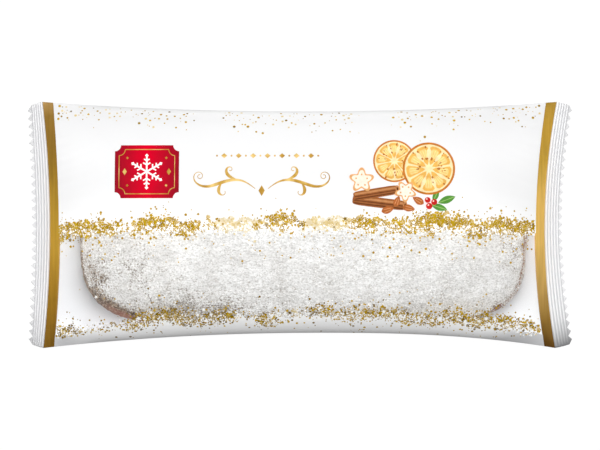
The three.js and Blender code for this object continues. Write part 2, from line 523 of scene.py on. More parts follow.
GOLD_WIDTH = Spec(corner=6.5, middle=5.9)
WINDOW_INSET = Spec(middle=10.6, end=7.4)  # of the window's near side from the near edge
WINDOW_FAR_Y = Spec(middle=-2.2, end=-5.0)
WINDOW_WAVER = 0.8  # how far the printed edges of the window waver
FIELD_LENGTH = 150.0  # half the length between the gold bands, roughly
FRONT_COLUMNS = 420
BACK_GRID = (200, 121)
BAND_GRID = (14, 241)
BACK_SEAL_COLUMNS = 260
BACK_SEAL_CLEARANCE = 0.08  # above the table
FAR_RIM = 34.0  # width of the rim of painted shade along the far edge
FAR_PAINTED_GLEAM = 8.0  # and of the painted lighter line at its very edge, where that painted shade lifts
RIB_STEPS, TOOTH_STEPS, ROW_STEPS = 12, 4, 8  # mesh steps for each rib, along each tooth and across it
TOOTH_PAINTED_TONE = 0.55  # how much painted groove shade the teeth take: from 0, as dark as the grooves, to 1, as light as the crests


def end_share(x):
    return np.abs(x) / FIELD_LENGTH


def gold_x(end, v):
    """The inner edge of a gold band."""
    return seal_x(end, v) - end.side * mix(GOLD_WIDTH.middle, GOLD_WIDTH.corner, v * v)


def waver(x):
    """An uneven line about zero, as the window's edge is lost among the glitter."""
    return WINDOW_WAVER / 2 * (np.sin(x / 1.9) + np.sin(x / 3.1 + np.sin(x / 5.3)) + np.sin(x / 7.7))


def window_near(x):
    """The y of the window's near side."""
    inset = mix(WINDOW_INSET.middle, WINDOW_INSET.end, eased(end_share(x), 0.55, 0.4))
    return inset - edge_reach(NEAR_EDGE, x) + waver(x + 40)


def window_far(x):
    return mix(WINDOW_FAR_Y.middle, WINDOW_FAR_Y.end, end_share(x) ** 2) + waver(x)


def between_bands(e, v):
    return mix(gold_x(LEFT_END, v), gold_x(RIGHT_END, v), e)


def rows_of(line, e, passes=6):
    """The row v under a line y(x), at share e of the length between the gold bands."""
    v = np.zeros_like(e)
    for _ in range(passes):
        x = between_bands(e, v)
        v = row_at(x, line(x))
    return v


def along(count, crowding=0.7):
    """Shares from 0 to 1, closer together at both ends."""
    even = np.linspace(0, 1, count)
    return mix(even, (1 - np.cos(math.pi * even)) / 2, crowding)


def far_painted_shade(x, v):
    """Painted shade of the far half: a soft grey field, lighter at the ends, and a rim that lifts into a
    painted lighter line at the edge.
    """
    aside = np.abs(x)
    inside = edge_reach(FAR_EDGE, x) - tube_y(x, v)
    rim = 1 - smooth(inside / FAR_RIM)
    end = np.where(x < 0, 0.4, 0.7) * eased(aside, 110, 40) * (1 - rim)
    field = 0.24 * eased(v, -0.05, 0.35) * (1 - end)
    painted_gleam = 0.25 * (1 - eased(aside, 100, 50)) * (1 - smooth(inside / FAR_PAINTED_GLEAM))
    return 0.09 + field + (0.09 + 0.07 * eased(aside, 45, 50)) * rim - painted_gleam


def near_painted_shade(x, v):
    """Painted shade of the near half: its edge, more of it at the corners, and a patch beside the loaf's left
    end.
    """
    left, right = eased(-x, 128, 16), eased(x, 100, 40)
    edge = 0.3 * eased(-x, 90, 60) + 0.25 * left + 0.8 * right
    return edge * eased(-v, 0.74, 0.2) + 0.2 * left * eased(-v, 0.4, 0.3)


def add_front(white, clear):
    """The upper film: two printed fields with the clear window between them."""
    e = along(FRONT_COLUMNS)
    near, far = rows_of(window_near, e), rows_of(window_far, e)
    edge = np.ones_like(e)
    fields = (
        ("film_front_near", -edge, near, 30, white),
        ("film_window", near, far, 60, clear),
        ("film_front_far", far, edge, 90, white),
    )
    for name, start, stop, rows, material in fields:
        v = mix(start[:, None], stop[:, None], np.linspace(0, 1, rows)[None, :])
        x = between_bands(e[:, None], v)
        field = add_sheet(name, x, tube_y(x, v), tube_top(x, v), material)
        field.visible_shadow = False  # thin film lets light through to the loaf
        if material == white:
            # the shade layer holds painted shade, greying the white film towards its edges and corners
            add_layer(field, "shade", np.where(v > 0, far_painted_shade(x, v), near_painted_shade(x, v)))


def add_back(material):
    """The lower film from side to side, with its folded back seal."""
    columns, rows = BACK_GRID
    e, v = np.meshgrid(along(columns), np.linspace(-1, 1, rows), indexing="ij")
    x = between_bands(e, v)
    z = tube_bottom(x, v)
    z[:, [0, -1]] = tube_top(x[:, [0, -1]], v[:, [0, -1]])
    add_sheet("film_back", x, tube_y(x, v), z, material, flip=True)
    add_back_seal(material)


def add_back_seal(material):
    """A flat folded strip along the underside, from one cut edge to the other."""
    x = mix(seal_x(LEFT_END, 0.0), seal_x(RIGHT_END, 0.0), along(BACK_SEAL_COLUMNS))
    z = tube_bottom(x, np.zeros_like(x))
    middle = np.zeros(RIB_COUNT * RIB_STEPS)
    shares = np.linspace(0, 1, len(middle) + 1)[1:]
    left_x, _, left_z = fin_surface(LEFT_END, shares[::-1], middle)
    right_x, _, right_z = fin_surface(RIGHT_END, shares, middle)
    x = np.concatenate([left_x, x, right_x])[:, None]
    z = np.concatenate([left_z - FILM_SKIN, z, right_z - FILM_SKIN])[:, None]
    half, drop = BACK_SEAL_WIDTH / 2, BACK_SEAL_THICKNESS - BACK_SEAL_CLEARANCE
    strip = np.broadcast_arrays(x, [-half, -half, half, half], z + [0.0, -drop, -drop, 0.0])
    add_sheet("film_back_seal", *strip, material, flip=True)


def add_gold_band(side, material):
    """A gold band, over and under the tube next to a seal."""
    end = ENDS[side]
    columns, rows = BAND_GRID
    f, v = np.meshgrid(np.linspace(0, 1, columns), np.linspace(-1, 1, rows), indexing="ij")
    x = mix(seal_x(end, v), gold_x(end, v), f)
    for name, height, flip in (("front", tube_top, side == "right"), ("back", tube_bottom, side == "left")):
        band = add_sheet(f"gold_band_{side}_{name}", x, tube_y(x, v), height(x, v), material, flip=flip)
        band.visible_shadow = name == "back"


def rib_height(f):
    """Height of the ribs, from 0 to 1, at share f of a fin's ribbed width. The teeth are flat."""
    return (1 - np.cos(2 * math.pi * RIB_COUNT * np.minimum(f, 1))) / 2


def fin_surface(end, f, v):
    """The middle of a fin's thickness. Share f of its ribbed width is 1 to 2 over its teeth."""
    zigzag = 1 - np.abs((v + 1) / 2 * TOOTH_COUNT % 1 - 0.5) * 2
    ribbed = fin_width(end, v) - end.fin.tooth
    reach = np.minimum(f, 1) * ribbed + np.maximum(f - 1, 0) * zigzag * end.fin.tooth
    share = reach / ribbed
    seal = seal_x(end, v)
    curl = np.where(v < 0, end.fin.near_curl, end.fin.far_curl)
    drop = (FIN_DROOP + curl * np.abs(v) ** CURL_CURVE) * share**2
    z = SEAL_HEIGHT - drop + RIB_DEPTH * rib_height(f)
    return seal + end.side * reach, across_at(seal, v, FIN_TAPER * share), z


def add_fin(side, material):
    """A crimped fin: ribs along the seal, and a zigzag cut edge."""
    end = ENDS[side]
    ribbed_f = np.linspace(0, 1, RIB_COUNT * RIB_STEPS + 1)
    tooth_f = np.linspace(1, 2, TOOTH_STEPS + 1)[1:]
    rows = np.linspace(-1, 1, TOOTH_COUNT * ROW_STEPS + 1)
    f, v = np.meshgrid(np.concatenate([ribbed_f, tooth_f]), rows, indexing="ij")
    x, y, z = fin_surface(end, f, v)
    layers = [np.stack([x, y, z + offset], axis=-1).reshape(-1, 3) for offset in (FILM_SKIN, -FILM_SKIN)]
    faces = grid_faces(*x.shape, flip=side == "left")
    faces += renumbered(grid_faces(*x.shape, flip=side == "right"), x.size)
    faces += rim_faces(*x.shape, flip=side == "left")
    fin = add_mesh(f"fin_{side}", np.concatenate(layers), faces, material)
    # Painted shade: the rib layer darkens the grooves, the shade layer greys the near corner.
    shade = end.shade * np.clip((-v - 0.6) / 0.4, 0, 1) ** 2.7
    add_layer(fin, "rib", np.stack([np.where(f > 1, TOOTH_PAINTED_TONE, rib_height(f))] * 2))
    add_layer(fin, "shade", np.stack([shade] * 2))


# ---------------------------------------------------------------- the loaf

LOAF = Spec(middle=(2.2, -1.0), half_length=135.6, half_width=62.5, waist_z=14.0, top_z=50.0)
LOAF_BASE = 1.3
LOAF_UNDERCUT = 17.0  # how far the round underside would pass below its widest line, before it is cut flat
LOAF_PLAN = 4.0  # superellipse exponents of its plan
LOAF_SECTION = 2.5  # and of its section
LOAF_STEP = 1.05  # spacing of its mesh
LOAF_CLEARANCE = Spec(top=0.5, base=0.4, grain=0.15)  # gaps between the film and its form, and its grains
POWDER_DEPTH = 0.55
RUBBED_CORNER = Spec(x=-110.0, y=-50.0, half_length=25.0, half_width=15.0)  # where the crust is bare
THIN_SPOTS = (  # x, y, radius, loss of sugar, or gain where it is negative; the gains at the right end are painted light, whitening it where it slopes into shade
    (-124, -26, 4, 0.3), (-119, -32, 4, 0.4), (-115, -39.5, 6, -0.3), (-107, -44.5, 6, -0.25),
    (-93.5, -22.5, 3, 0.42), (-92, -25, 21, 0.21), (-57, -46, 16, 0.2), (-22, -50, 15, 0.14),
    (4, -50, 14, 0.14), (-70, -50, 13, 0.3), (-44, -52, 13, 0.3), (-33.5, -22, 4, 0.2),
    (-12, -38, 5, 0.2), (61, -22, 14, 0.1), (114, -34, 17, -0.28), (98, -20, 15, -0.12),
    (129, -27, 3.5, 0.2), (112, -14, 10, -0.2), (126.5, -12, 8, 0.25), (119, -50, 3, 0.6),
)
EDGE_LINES = (  # side, rim, width, distance from which it shows, loss of sugar
    (1, 0.98, 0.0045, 70.0, 0.5),
    (-1, 0.993, 0.006, 105.0, 0.45),
)
RED_RIM = Spec(x=-98.0, half_length=19.0)
CLUMP_COUNT = 3000
CLUMP_RADIUS = (0.3, 0.62)
CLUMP_FAR_Y = 6.0  # clumps lie where the window shows the loaf


def box_surface(counts):
    """Points and quads of a cube from -1 to 1 with that many cells along each axis, its edges shared."""
    points, faces, known = [], [], {}

    def index(key):
        if key not in known:
            known[key] = len(points)
            points.append([2 * k / n - 1 for k, n in zip(key, counts)])
        return known[key]

    for axis in range(3):
        u, w = (axis + 1) % 3, (axis + 2) % 3
        for level in (0, counts[axis]):
            for i in range(counts[u]):
                for j in range(counts[w]):
                    quad = []
                    for di, dj in ((0, 0), (1, 0), (1, 1), (0, 1)):
                        key = [0, 0, 0]
                        key[axis], key[u], key[w] = level, i + di, j + dj
                        quad.append(index(tuple(key)))
                    faces.append(tuple(quad) if level else tuple(quad[::-1]))
    return np.array(points), faces


def loaf_shape(noise):
    """The loaf's points in mm and faces, each point's outward direction, and its nearness to the rim."""
    half = np.array([LOAF.half_length, LOAF.half_width, (LOAF.top_z - LOAF_BASE) / 2])
    p, faces = box_surface([round(2 * h / LOAF_STEP) for h in half])
    plan = (np.abs(p[:, 0]) ** LOAF_PLAN + np.abs(p[:, 1]) ** LOAF_PLAN) ** (1 / LOAF_PLAN)
    radius = (plan**LOAF_SECTION + np.abs(p[:, 2]) ** LOAF_SECTION) ** (1 / LOAF_SECTION)
    p /= radius[:, None]
    crown = LOAF.top_z - LOAF.waist_z
    tall = np.where(p[:, 2] > 0, crown, LOAF_UNDERCUT)
    points = p * np.stack([np.full_like(tall, half[0]), np.full_like(tall, half[1]), tall], axis=1)
    outward = points / np.array([half[0] ** 2, half[1] ** 2, crown**2])
    outward /= np.linalg.norm(outward, axis=1)[:, None]
    points += np.array([*LOAF.middle, LOAF.waist_z])

    swell = 1.5 * noise.fractal(points, 46.0, 2) + 0.7 * noise.fractal(points + 400, 13.0, 3)
    points += outward * swell[:, None]
    x, y = points[:, 0], points[:, 1]
    v = row_at(x, y)
    points[:, 2] = np.clip(points[:, 2], LOAF_BASE, tube_top(x, v) - LOAF_CLEARANCE.top)
    points[:, 2] = np.maximum(points[:, 2], tube_bottom(x, v) + LOAF_CLEARANCE.base)
    powder = 0.6 * noise(points + 900, 2.7) + 0.5 * noise(points + 1300, 1.5)
    powder += 0.25 * np.random.default_rng(8).uniform(-1, 1, len(points))
    points += outward * (POWDER_DEPTH * powder)[:, None]
    keep_inside(points)
    return points, faces, outward, plan / radius


def keep_inside(points):
    """Presses back what would stand through the film."""
    x, y, z = points.T
    v = row_at(x, y)
    z = np.minimum(z, tube_top(x, v) - LOAF_CLEARANCE.grain)
    points[:, 2] = np.maximum(z, tube_bottom(x, v) + LOAF_CLEARANCE.grain)


def sugar_cover(points, outward, rim, noise):
    """Sugar is thick on the crown, thinner on the ends and sides, and rubbed off at the near left corner;
    painted light whitens the right end.
    """
    x, y, _ = points.T
    cover = 1.05 + 0.1 * noise.fractal(points + 70, 9.0, 2) + 0.1 * eased(y, -30, 25)
    cover -= 0.1 * eased(np.abs(x - LOAF.middle[0]), 92, 30)
    cover -= 0.24 * eased(rim, 0.55, 0.35) + 0.34 * eased(rim, 0.972, 0.022)
    for side, line_rim, width, from_x, loss in EDGE_LINES:
        cover -= loss * np.exp(-(((rim - line_rim) / width) ** 2)) * eased(side * x, from_x, 25)
    # Spots thin the sugar; those with a gain at the right end are painted light.
    for spot_x, spot_y, radius, loss in THIN_SPOTS:
        cover -= loss * np.exp(-((x - spot_x) ** 2 + (y - spot_y) ** 2) / radius**2)
    corner = RUBBED_CORNER
    off_x, off_y = (x - corner.x) / corner.half_length, (y - corner.y) / corner.half_width
    cover -= 0.3 * np.exp(-(off_x**2) - off_y**2) * eased(rim, 0.86, 0.06)
    cover -= 0.75 * np.exp(-((off_x**2 + off_y**2) ** 2)) * eased(rim, 0.925, 0.035)
    return np.where(outward[:, 2] < -0.2, 0.1, cover)


def red_rim(points, rim):
    """How red the crust's rim is, from 0 to 1: most at the near left corner, faintly along the right end."""
    x, y, _ = points.T
    near_left = 0.75 * np.exp(-(((x - RED_RIM.x) / RED_RIM.half_length) ** 4)) * eased(-y, 40, 12)
    return (near_left + 0.45 * eased(x, 80, 20)) * eased(rim, 0.955, 0.02)


def add_loaf():
    noise = Lattice(5)
    points, faces, outward, rim = loaf_shape(noise)
    sugar = sugar_cover(points, outward, rim, noise)
    piece = add_mesh("loaf", points, faces, crust_and_sugar())
    add_layer(piece, "sugar", sugar)
    add_layer(piece, "bake", eased(rim, 0.84, 0.09))
    add_layer(piece, "rust", red_rim(points, rim))
    add_clumps(points, outward, sugar)


def add_clumps(points, outward, sugar):
    """Loose clumps of sugar on the crust under the window, as small uneven lumps."""
    rng = np.random.default_rng(21)
    shown = np.nonzero((outward[:, 2] > 0.15) & (points[:, 1] < CLUMP_FAR_Y) & (sugar > 0.3))[0]
    seats = rng.choice(shown, CLUMP_COUNT, replace=False)
    ball, ball_faces = icosahedron()
    lumps, faces = [], []
    for count, seat in enumerate(seats):
        radius = mix(*CLUMP_RADIUS, rng.random() ** 2)
        shape = ball * radius * rng.uniform(0.7, 1.15, (len(ball), 1)) * rng.uniform(0.75, 1.25, 3)
        lumps.append(shape + points[seat] + outward[seat] * radius * 0.1)
        faces += renumbered(ball_faces, count * len(ball))
    lumps = np.concatenate(lumps)
    keep_inside(lumps)
    add_mesh("sugar_clumps", lumps, faces, sugar_clump())


def icosahedron():
    """Points at distance 1 from the middle, and faces that look outward."""
    golden, edge = (1 + math.sqrt(5)) / 2, 2.0
    signs = itertools.product((-edge / 2, edge / 2), (-golden, golden))
    points = np.array([point for a, b in signs for point in ((0, a, b), (a, b, 0), (b, 0, a))])
    faces = []
    for face in itertools.combinations(range(len(points)), 3):
        a, b, c = points[list(face)]
        if max(math.dist(a, b), math.dist(b, c), math.dist(c, a)) < edge + 0.01:
            outside = np.dot(np.cross(b - a, c - a), a) > 0
            faces.append(face if outside else (face[0], face[2], face[1]))
    return points / math.hypot(1, golden), faces


# ---------------------------------------------------------------- glitter, printed on the film

DOT_SIDES = 8
LIFT = {"faint": 0.04, "dark": 0.06, "gold": 0.08, "pale": 0.1, "white": 0.12}
FIELD_X = (-147.0, 143.0)
PRINT_MARGIN = Spec(bands=1.0, far=1.2)  # that the print keeps from the gold bands and the far edge
PRINT_NEAR_V = -0.93  # its nearest row
BAND_CROWDING = 0.42

FAR_BAND = Spec(
    kinds=(  # kind, how many are thrown, smallest and largest radius, spread across the band
        ("flakes", 260, 1.2, 2.4, 1.9),
        ("stars", 1080, 0.8, 1.7, 2.0),
        ("dots", 3500, 0.3, 0.8, 2.5),
        ("dots", 620, 0.28, 0.85, 6.0),
    ),
    clusters=(-143, -134, -126, -113, -92, -81, -68, -11, 40, 60, 70, 80, 93, 104, 116, 127, 137),
    cluster_share=0.76,
    print_squeeze=0.9,  # of its spread on the printed side of its line
    window_side=-1,
)
NEAR_BAND = Spec(
    kinds=(
        ("flakes", 30, 1.1, 1.9, 2.0),
        ("stars", 720, 0.7, 1.5, 2.1),
        ("dots", 3400, 0.28, 0.75, 2.5),
        ("dots", 520, 0.28, 0.85, 7.0),
    ),
    clusters=(
        -142, -99, -91, -83, -76, -66, -54, -45, -20, 14, 30, 41, 54, 63, 78, 89, 96, 104, 114, 124, 136,
    ),
    cluster_share=0.78,
    print_squeeze=0.75,
    window_side=1,
)
BAND_MIDDLE_X = 5.0
FAR_LINE = Spec(y=0.7, left_fall=5.2, right_fall=2.4, curve=2.2)
NEAR_LINE = Spec(middle=11.6, end=9.0)  # its distance from the near edge
CLUSTER_SPREAD = 4.2
CLUSTER_BEND = 1.6  # how far the clusters lie off the band's line
DRIFT = Spec(count=180, radius=(0.3, 0.8), start=4.0, depth=18.0)  # larger dots adrift below the far band
EDGE_DOTS = Spec(  # along the far edge
    count=330, radius=(0.28, 0.9), margin=1.4, spread=5.5, dark_share=0.18, pale_share=0.4,
    stretches=((-105.0, 42.0), (-5.0, 42.0), (100.0, 46.0)),  # middle and half length
)
PALE_STRETCHES = ((-37.0, 13.0), (15.0, 13.0))  # middle and half length of where the far band fades
HAZE = Spec(count=300, radius=(0.8, 1.6), spread=1.5)  # faint discs that run together there
WHITE_SPECKS = Spec(count=1300, radius=(0.2, 0.6), inside=0.2, spread=1.5)  # along both edges of the window
WHITE_FLAKES = Spec(count=100, radius=(0.9, 1.6), spread=2.0)  # snow among the glitter of both bands
WHITE_STARS = (  # kind, x, y, radius
    ("stars", -121.9, -43.0, 1.3), ("stars", -96.5, -55.8, 1.9), ("stars", -88.9, -52.3, 1.3),
    ("stars", 97.0, -1.0, 1.4), ("stars", 111.3, -56.1, 1.6), ("sparkles", 83.5, -56.1, 2.6),
    ("stars", 12.0, -49.5, 1.2), ("stars", -40.0, -1.5, 1.2),
)


def far_line(x):
    """The y of the middle of the far band, which falls off towards both ends."""
    fall = np.where(x < BAND_MIDDLE_X, FAR_LINE.left_fall, FAR_LINE.right_fall)
    return FAR_LINE.y - fall * end_share(x - BAND_MIDDLE_X) ** FAR_LINE.curve


def near_line(x):
    """The y of the middle of the near band, which winds along the near edge."""
    inset = mix(NEAR_LINE.middle, NEAR_LINE.end, eased(end_share(x - BAND_MIDDLE_X), 0.45, 0.5))
    return inset - edge_reach(NEAR_EDGE, x) + 0.9 * np.sin(x / 17.0) + 0.6 * np.sin(x / 7.3 + 1)


def paleness(x):
    return sum(np.exp(-(((x - middle) / half) ** 4)) for middle, half in PALE_STRETCHES)


def far_tone(x, chance):
    """Tones of the far band at places x, from a random number for each: gold, pale where the band fades."""
    return np.select([chance < 0.93 * paleness(x), chance > 0.95], ["pale", "dark"], "gold")


def near_tone(x, chance):
    """Tones of the near band: more of it is dark towards the left."""
    return np.select([chance < 0.5 - 0.2 * eased(x, -20, 60), chance < 0.95], ["dark", "gold"], "pale")


class Confetti:
    """Flat shapes thrown on the film so that they hardly overlap."""

    CELL = 4.0

    def __init__(self, rng):
        self.rng = rng
        self.taken = defaultdict(list)
        self.lots = defaultdict(list)

    def cell(self, x, y):
        return int(x // self.CELL), int(y // self.CELL)

    def room(self, x, y, radius, crowding):
        """Whether a shape fits there. Shapes may overlap by the share 1 - crowding of their radii."""
        column, row = self.cell(x, y)
        for i, j in itertools.product((-1, 0, 1), repeat=2):
            for other_x, other_y, other in self.taken[column + i, row + j]:
                if math.hypot(x - other_x, y - other_y) < crowding * (radius + other):
                    return False
        return True

    def put(self, kind, tone, x, y, radius, crowding=0.0):
        if self.room(x, y, radius, crowding):
            self.taken[self.cell(x, y)].append((x, y, radius))
            self.lots[kind, tone].append((x, y, radius, self.rng.uniform(0, math.tau)))

    def stamp(self, inks):
        """One piece for each kind and tone."""
        for (kind, tone), lot in self.lots.items():
            x0, y0, radius, turn = (column[:, None] for column in np.array(lot).T)
            ring, faces = SHAPES[kind]
            x = x0 + radius * (ring[:, 0] * np.cos(turn) - ring[:, 1] * np.sin(turn))
            foreshortening = 1 / np.sqrt(1 + film_slopes(x0, y0)[1] ** 2)
            y = y0 + radius * foreshortening * (ring[:, 0] * np.sin(turn) + ring[:, 1] * np.cos(turn))
            every = [face for k in range(len(lot)) for face in renumbered(faces, k * len(ring))]
            points = on_film(x.ravel(), y.ravel(), LIFT[tone])
            add_print(f"glitter_{kind}_{tone}", points, every, inks[tone], smooth_shaded=False)


def polar(angles, radii):
    return np.stack([np.cos(angles) * radii, np.sin(angles) * radii], axis=-1)


def turned(points, turn, middle=(0.0, 0.0)):
    cos, sin = math.cos(turn), math.sin(turn)
    return np.dot(points, [[cos, sin], [-sin, cos]]) + np.array(middle)


def dot_shape():
    return polar(np.arange(DOT_SIDES) * math.tau / DOT_SIDES, 1.0), [tuple(range(DOT_SIDES))]


def star_shape(arms=5, waist=0.42):
    steps = np.arange(2 * arms)
    ring = polar(steps * math.pi / arms, np.where(steps % 2, waist, 1.0))
    faces = [(i, (i + 1) % len(ring), len(ring)) for i in steps.tolist()]
    return np.vstack([ring, [[0, 0]]]), faces


def flake_shape(half_width=0.13):
    """A six-armed snowflake, each arm a thin bar with two short branches."""
    bars = (((0.0, 0.0), (1.0, 0.0)), ((0.5, 0.0), (0.84, -0.3)), ((0.5, 0.0), (0.84, 0.3)))
    points, faces = [], []
    for arm in range(6):
        for start, end in np.array(bars):
            side = np.array([start[1] - end[1], end[0] - start[0]])
            side *= half_width / np.linalg.norm(side)
            faces += renumbered([(0, 1, 2, 3)], len(points))
            points += [*turned([start - side, end - side, end + side, start + side], arm * math.pi / 3)]
    return np.array(points), faces


SHAPES = {"dots": dot_shape(), "stars": star_shape(), "flakes": flake_shape(), "sparkles": star_shape(8, 0.4)}


def on_print(x, y):
    """Whether a place lies on the printed film, between the gold bands and the long edges."""
    v = row_at(x, y)
    across = (v > PRINT_NEAR_V) & (y < edge_reach(FAR_EDGE, x) - PRINT_MARGIN.far)
    left, right = gold_x(LEFT_END, v) + PRINT_MARGIN.bands, gold_x(RIGHT_END, v) - PRINT_MARGIN.bands
    return (x > left) & (x < right) & across


def throw(confetti, kind, tones, x, y, radii, crowding=0.0):
    """Puts down the shapes of one kind that fall on the printed film. They have one tone or a tone each."""
    tones = np.broadcast_to(tones, len(x)).tolist()
    for tone, *place, inside in zip(tones, x.tolist(), y.tolist(), radii.tolist(), on_print(x, y)):
        if inside:
            confetti.put(kind, tone, *place, crowding)


def throw_band(confetti, band, line, tone_of):
    rng = confetti.rng
    clusters = np.array(band.clusters, float)
    bends = rng.normal(0, CLUSTER_BEND, len(clusters))
    for kind, count, small, large, spread in band.kinds:
        pick = rng.integers(len(clusters), size=count)
        clustered = rng.random(count) < band.cluster_share
        near_cluster = clusters[pick] + rng.normal(0, CLUSTER_SPREAD, count)
        x = np.where(clustered, near_cluster, rng.uniform(*FIELD_X, count))
        offset = rng.normal(0, spread, count)
        offset *= np.where(offset * band.window_side > 0, 1.0, band.print_squeeze)
        y = line(x) + clustered * bends[pick] + offset
        radii = mix(small, large, rng.random(count) ** 2)
        throw(confetti, kind, tone_of(x, rng.random(count)), x, y, radii, BAND_CROWDING)


def throw_flakes(confetti):
    """White stars, round which the glitter leaves room."""
    rng, count = confetti.rng, WHITE_FLAKES.count
    for line in (far_line, near_line):
        x = rng.uniform(*FIELD_X, count)
        y = line(x) + rng.normal(0, WHITE_FLAKES.spread, count)
        throw(confetti, "stars", "white", x, y, rng.uniform(*WHITE_FLAKES.radius, count), crowding=1.0)


def in_stretches(rng, stretches, count):
    """Places along x, thrown evenly in stretches of (middle, half length)."""
    middle, half = np.array(stretches)[rng.integers(len(stretches), size=count)].T
    return middle + half * rng.uniform(-1, 1, count)


def throw_haze(confetti):
    rng, count = confetti.rng, HAZE.count
    x = in_stretches(rng, PALE_STRETCHES, count)
    y = far_line(x) + rng.normal(0, HAZE.spread, count)
    throw(confetti, "dots", "faint", x, y, rng.uniform(*HAZE.radius, count))


def throw_specks(confetti):
    """Specks of snow that break up the edges of the window."""
    rng, count = confetti.rng, WHITE_SPECKS.count
    for line, side in ((window_far, -1), (window_near, 1)):
        x = rng.uniform(*FIELD_X, count)
        y = line(x) + side * rng.normal(WHITE_SPECKS.inside, WHITE_SPECKS.spread, count)
        throw(confetti, "dots", "white", x, y, mix(*WHITE_SPECKS.radius, rng.random(count) ** 2))


def throw_drift(confetti):
    rng, count = confetti.rng, DRIFT.count
    x = rng.uniform(*FIELD_X, count)
    y = far_line(x) - DRIFT.start - DRIFT.depth * rng.random(count) ** 1.7
    throw(confetti, "dots", "gold", x, y, mix(*DRIFT.radius, rng.random(count) ** 2), crowding=1.8)


def throw_edge_dots(confetti):
    rng, count = confetti.rng, EDGE_DOTS.count
    x = in_stretches(rng, EDGE_DOTS.stretches, count)
    y = edge_reach(FAR_EDGE, x) - EDGE_DOTS.margin - np.abs(rng.normal(0, EDGE_DOTS.spread, count))
    dark, pale = rng.random(count) < EDGE_DOTS.dark_share, rng.random(count) < EDGE_DOTS.pale_share
    tones = np.select([dark, pale], ["dark", "pale"], "gold")
    throw(confetti, "dots", tones, x, y, mix(*EDGE_DOTS.radius, rng.random(count) ** 1.5), crowding=1.3)


def add_glitter(inks):
    confetti = Confetti(np.random.default_rng(11))
    for kind, *star in WHITE_STARS:
        confetti.put(kind, "white", *star)
    throw_flakes(confetti)
    throw_band(confetti, FAR_BAND, far_line, far_tone)
    throw_band(confetti, NEAR_BAND, near_line, near_tone)
    throw_haze(confetti)
    throw_specks(confetti)
    throw_drift(confetti)
    throw_edge_dots(confetti)
    confetti.stamp(inks)


# ---------------------------------------------------------------- print: plaque, flourish, fruit and spice

RING_STEP = 1.5  # between the rings of points that fill a printed shape
STROKE_STEP = 0.6
LAYER_LIFT = 0.03  # each layer of print lies this much above the one under it
LAYER_BASE = 0.05

PLAQUE = Spec(
    x=-91.1, y=31.7, half_width=19.2, half_height=15.8, notch=3.6, frame=2.6, line=0.45,
    side_stud=(13.2, 1.3, 2.1), corner_stud=(11.6, 8.2, 0.8),  # places from its middle, then half sizes
)
CRYSTAL = Spec(radius=9.6, stroke=1.0, branches=((0.42, 0.26), (0.68, 0.2)))  # shares of an arm
FLOURISH = Spec(x=-22.8, y=22.6, scale=1.08, stroke=1.5, hair=0.4)
BEAD_ROW = Spec(x=-19.3, y=41.2, pitch=4.3, count=15)
FLOURISH_VINES = (  # start, heading in degrees, then stretches of (length, first and last bend per mm)
    ((3.5, -1.0), 38, ((9, 0.0, -0.09), (16, -0.09, 0.02), (10, 0.06, 0.16), (10, 0.2, 0.5), (7, 0.5, 1.1))),
    ((13.0, 4.0), 10, ((6, 0.05, 0.15), (6, 0.2, 0.6), (4, 0.7, 1.3))),
    ((21.5, 2.6), -48, ((5, -0.04, -0.25), (7, -0.25, -0.85))),
)
VINE_STEP = 0.25
SLICES = ((56.0, 38.0, 12.6, 0.2), (76.5, 33.5, 15.6, 0.5))  # x, y, radius, turn of the orange slices
SEGMENTS = 9
SEGMENT_INKS = (("flesh", 0.14, 0.86, 0.055, 2), ("juice", 0.34, 0.76, 0.14, 3))  # start, end, gap, layer
FLECKS = Spec(count=30, radius=(0.45, 1.05))  # browned spots of a dried slice
STICKS = ((47.0, 13.2, 32.0, 3.0, -0.12), (45.0, 19.0, 27.0, 2.8, 0.16))  # x, y, length, half width, turn
BARK_LINES = (("bark_light", 0.42, 0.42), ("bark_dark", -0.1, 0.16), ("bark_dark", -0.62, 0.2))  # y, width
BISCUITS = ((36.5, 26.5, 7.6, 0.3), (62.5, 20.0, 6.6, 0.9))  # x, y, radius, turn
ALMONDS = ((52.0, 9.0, 3.9, 0.3), (70.0, 14.5, 3.8, 2.6), (64.5, 10.0, 3.7, -0.2), (57.5, 14.0, 3.5, 1.2))
LEAVES = ((87.0, 15.0, 11.0, 0.35), (82.5, 10.5, 10.0, -0.3), (80.5, 17.5, 8.5, 1.15))
BERRIES = ((76.5, 11.2, 1.9), (79.5, 13.6, 1.8), (75.6, 14.8, 1.7))
COLOURS = {
    "rind": (192, 116, 44), "pith": (246, 222, 172), "flesh": (230, 176, 88), "juice": (240, 200, 122),
    "fleck": (176, 108, 52), "streak": (250, 226, 164),
    "bark": (150, 90, 50), "bark_light": (192, 132, 84), "bark_dark": (96, 54, 30),
    "biscuit": (222, 166, 108), "icing": (248, 232, 214),
    "almond": (176, 100, 52), "almond_light": (212, 146, 96),
    "leaf": (86, 146, 60), "leaf_light": (150, 190, 106), "berry": (196, 40, 36),
}


